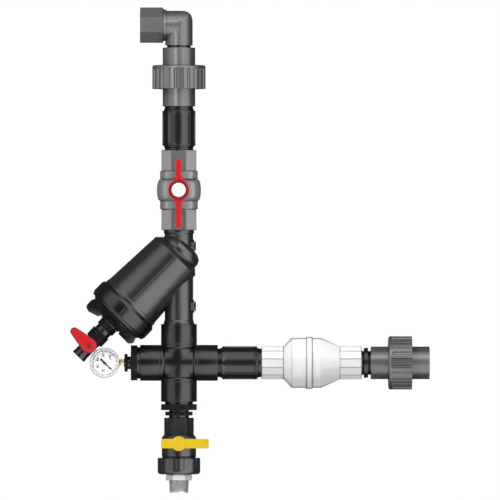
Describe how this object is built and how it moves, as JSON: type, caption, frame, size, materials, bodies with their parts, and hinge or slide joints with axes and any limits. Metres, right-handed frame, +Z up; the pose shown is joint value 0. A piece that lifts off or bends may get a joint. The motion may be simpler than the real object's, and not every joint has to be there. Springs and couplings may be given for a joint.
{
  "type": "basket strainer with valves and gauge",
  "caption": "Plastic Y-pattern basket strainer made up with an inlet union and ball valve, a cross with gauge, a spring check valve with outlet union, and a drain valve.",
  "frame": {"origin": "middle of the whole set's box, in the plane that holds every pipe's axis", "axes": "+Z up along the main run from drain to inlet; +X along the branch towards the outlet union; valve handles and the gauge dial face -Y"},
  "size_m": [0.6102, 0.118, 0.8248],
  "materials": {
    "black_pp": "satin moulded polypropylene",
    "grey_pvc": "satin moulded grey PVC",
    "white_pvc": "smooth moulded white plastic",
    "ptfe": "waxy white PTFE",
    "red_plastic": "smooth red plastic",
    "yellow_plastic": "smooth yellow coating",
    "rubber": "moulded black rubber",
    "brass": "machined brass",
    "steel": "turned stainless steel",
    "steel_mesh": "woven stainless steel mesh",
    "dial_white": "matt white paint with black scale marks",
    "pointer_black": "matt black paint",
    "gauge_glass": "clear polished"
  },
  "bodies": {
    "root": {"check_valve_band": "white_pvc", "check_valve_inlet_body": "white_pvc", "check_valve_outlet_body": "white_pvc", "check_valve_spring": "steel", "cross_fitting": "black_pp", "drain_adapter": "steel", "drain_bushing": "black_pp", "drain_nipple": "black_pp", "drain_valve_body": "black_pp", "elbow_nipple": "black_pp", "gauge_bezel": "steel", "gauge_bourdon_tube": "brass", "gauge_bushing": "black_pp", "gauge_case": "steel", "gauge_dial": "dial_white", "gauge_lens": "gauge_glass", "gauge_reducer": "black_pp", "gauge_socket": "brass", "inlet_elbow": "grey_pvc", "inlet_nipple": "black_pp", "inlet_union_body": "grey_pvc", "inlet_union_seal": "rubber", "inlet_union_tail": "grey_pvc", "isolating_valve_body": "grey_pvc", "isolating_valve_end": "grey_pvc", "isolating_valve_seat_lower": "ptfe", "isolating_valve_seat_upper": "ptfe", "outlet_close_nipple": "black_pp", "outlet_nipple": "black_pp", "outlet_union_body": "grey_pvc", "outlet_union_seal": "rubber", "outlet_union_tail": "grey_pvc", "strainer_body": "black_pp", "strainer_test_plug_lower": "black_pp", "strainer_test_plug_upper": "black_pp"},
    "isolating_valve_trim": {"isolating_valve_ball": "white_pvc", "isolating_valve_stem": "grey_pvc", "isolating_valve_handle": "red_plastic", "isolating_valve_handle_disc": "white_pvc"},
    "strainer_basket": {"strainer_basket_frame": "black_pp", "strainer_basket_screen": "steel_mesh", "strainer_basket_seat_ring": "rubber", "strainer_cap_seal": "rubber"},
    "strainer_cap": {"strainer_cap": "black_pp", "flush_valve_nipple": "black_pp", "flush_valve_body": "black_pp"},
    "flush_valve_trim": {"flush_valve_ball": "brass", "flush_valve_stem": "brass", "flush_valve_handle": "red_plastic", "flush_valve_handle_screw": "steel"},
    "gauge_pointer": {"gauge_pointer": "pointer_black"},
    "gauge_sector": {"gauge_sector": "brass"},
    "check_valve_poppet": {"check_valve_poppet": "white_pvc", "check_valve_poppet_seal": "rubber"},
    "inlet_union_nut": {"inlet_union_nut": "grey_pvc"},
    "outlet_union_nut": {"outlet_union_nut": "grey_pvc"},
    "drain_valve_nut": {"drain_valve_nut": "black_pp"},
    "drain_valve_trim": {"drain_valve_ball": "white_pvc", "drain_valve_stem": "black_pp", "drain_valve_handle": "yellow_plastic"}
  },
  "joints": [
    {"name": "isolating_valve_turn", "type": "hinge", "parent": "root", "child": "isolating_valve_trim", "pos_m": [-0.12077, -0.04, 0.10215], "axis": [0, 1, 0], "range_deg": [0, 90]},
    {"name": "basket_draw", "type": "slide", "parent": "root", "child": "strainer_basket", "axis": [-0.6947, 0, -0.7193], "range_m": [0, 0.0025]},
    {"name": "strainer_cap_turn", "type": "hinge", "parent": "strainer_basket", "child": "strainer_cap", "pos_m": [-0.21455, 0, -0.10086], "axis": [-0.6947, 0, -0.7193], "range_deg": [0, 150]},
    {"name": "flush_valve_turn", "type": "hinge", "parent": "strainer_cap", "child": "flush_valve_trim", "pos_m": [-0.27332, -0.015, -0.16172], "axis": [0, -1, 0], "range_deg": [0, 90]},
    {"name": "gauge_pointer_swing", "type": "hinge", "parent": "root", "child": "gauge_pointer", "pos_m": [-0.24697, -0.005, -0.19145], "axis": [0, 1, 0], "range_deg": [0, 270]},
    {"name": "gauge_sector_swing", "type": "hinge", "parent": "root", "child": "gauge_sector", "pos_m": [-0.26267, -0.0034, -0.19145], "axis": [0, 1, 0], "range_deg": [-27, 0]},
    {"name": "check_valve_lift", "type": "slide", "parent": "root", "child": "check_valve_poppet", "axis": [1, 0, 0], "range_m": [0, 0.009], "deforming": ["check_valve_spring"]},
    {"name": "inlet_union_turn", "type": "hinge", "parent": "root", "child": "inlet_union_nut", "pos_m": [-0.12077, 0, 0.29435], "axis": [0, 0, 1], "continuous": true},
    {"name": "outlet_union_turn", "type": "hinge", "parent": "root", "child": "outlet_union_nut", "pos_m": [0.25523, 0, -0.19145], "axis": [1, 0, 0], "continuous": true},
    {"name": "drain_nut_turn", "type": "hinge", "parent": "root", "child": "drain_valve_nut", "pos_m": [-0.12077, 0, -0.36695], "axis": [0, 0, -1], "continuous": true},
    {"name": "drain_valve_turn", "type": "hinge", "parent": "root", "child": "drain_valve_trim", "pos_m": [-0.12077, -0.036, -0.32785], "axis": [0, -1, 0], "range_deg": [0, 90]}
  ],
  "couplings": [
    {"joint": "strainer_cap_turn", "follows": "basket_draw", "rad_per_m": 1047.2},
    {"joint": "gauge_pointer_swing", "follows": "gauge_sector_swing", "ratio": -10}
  ]
}
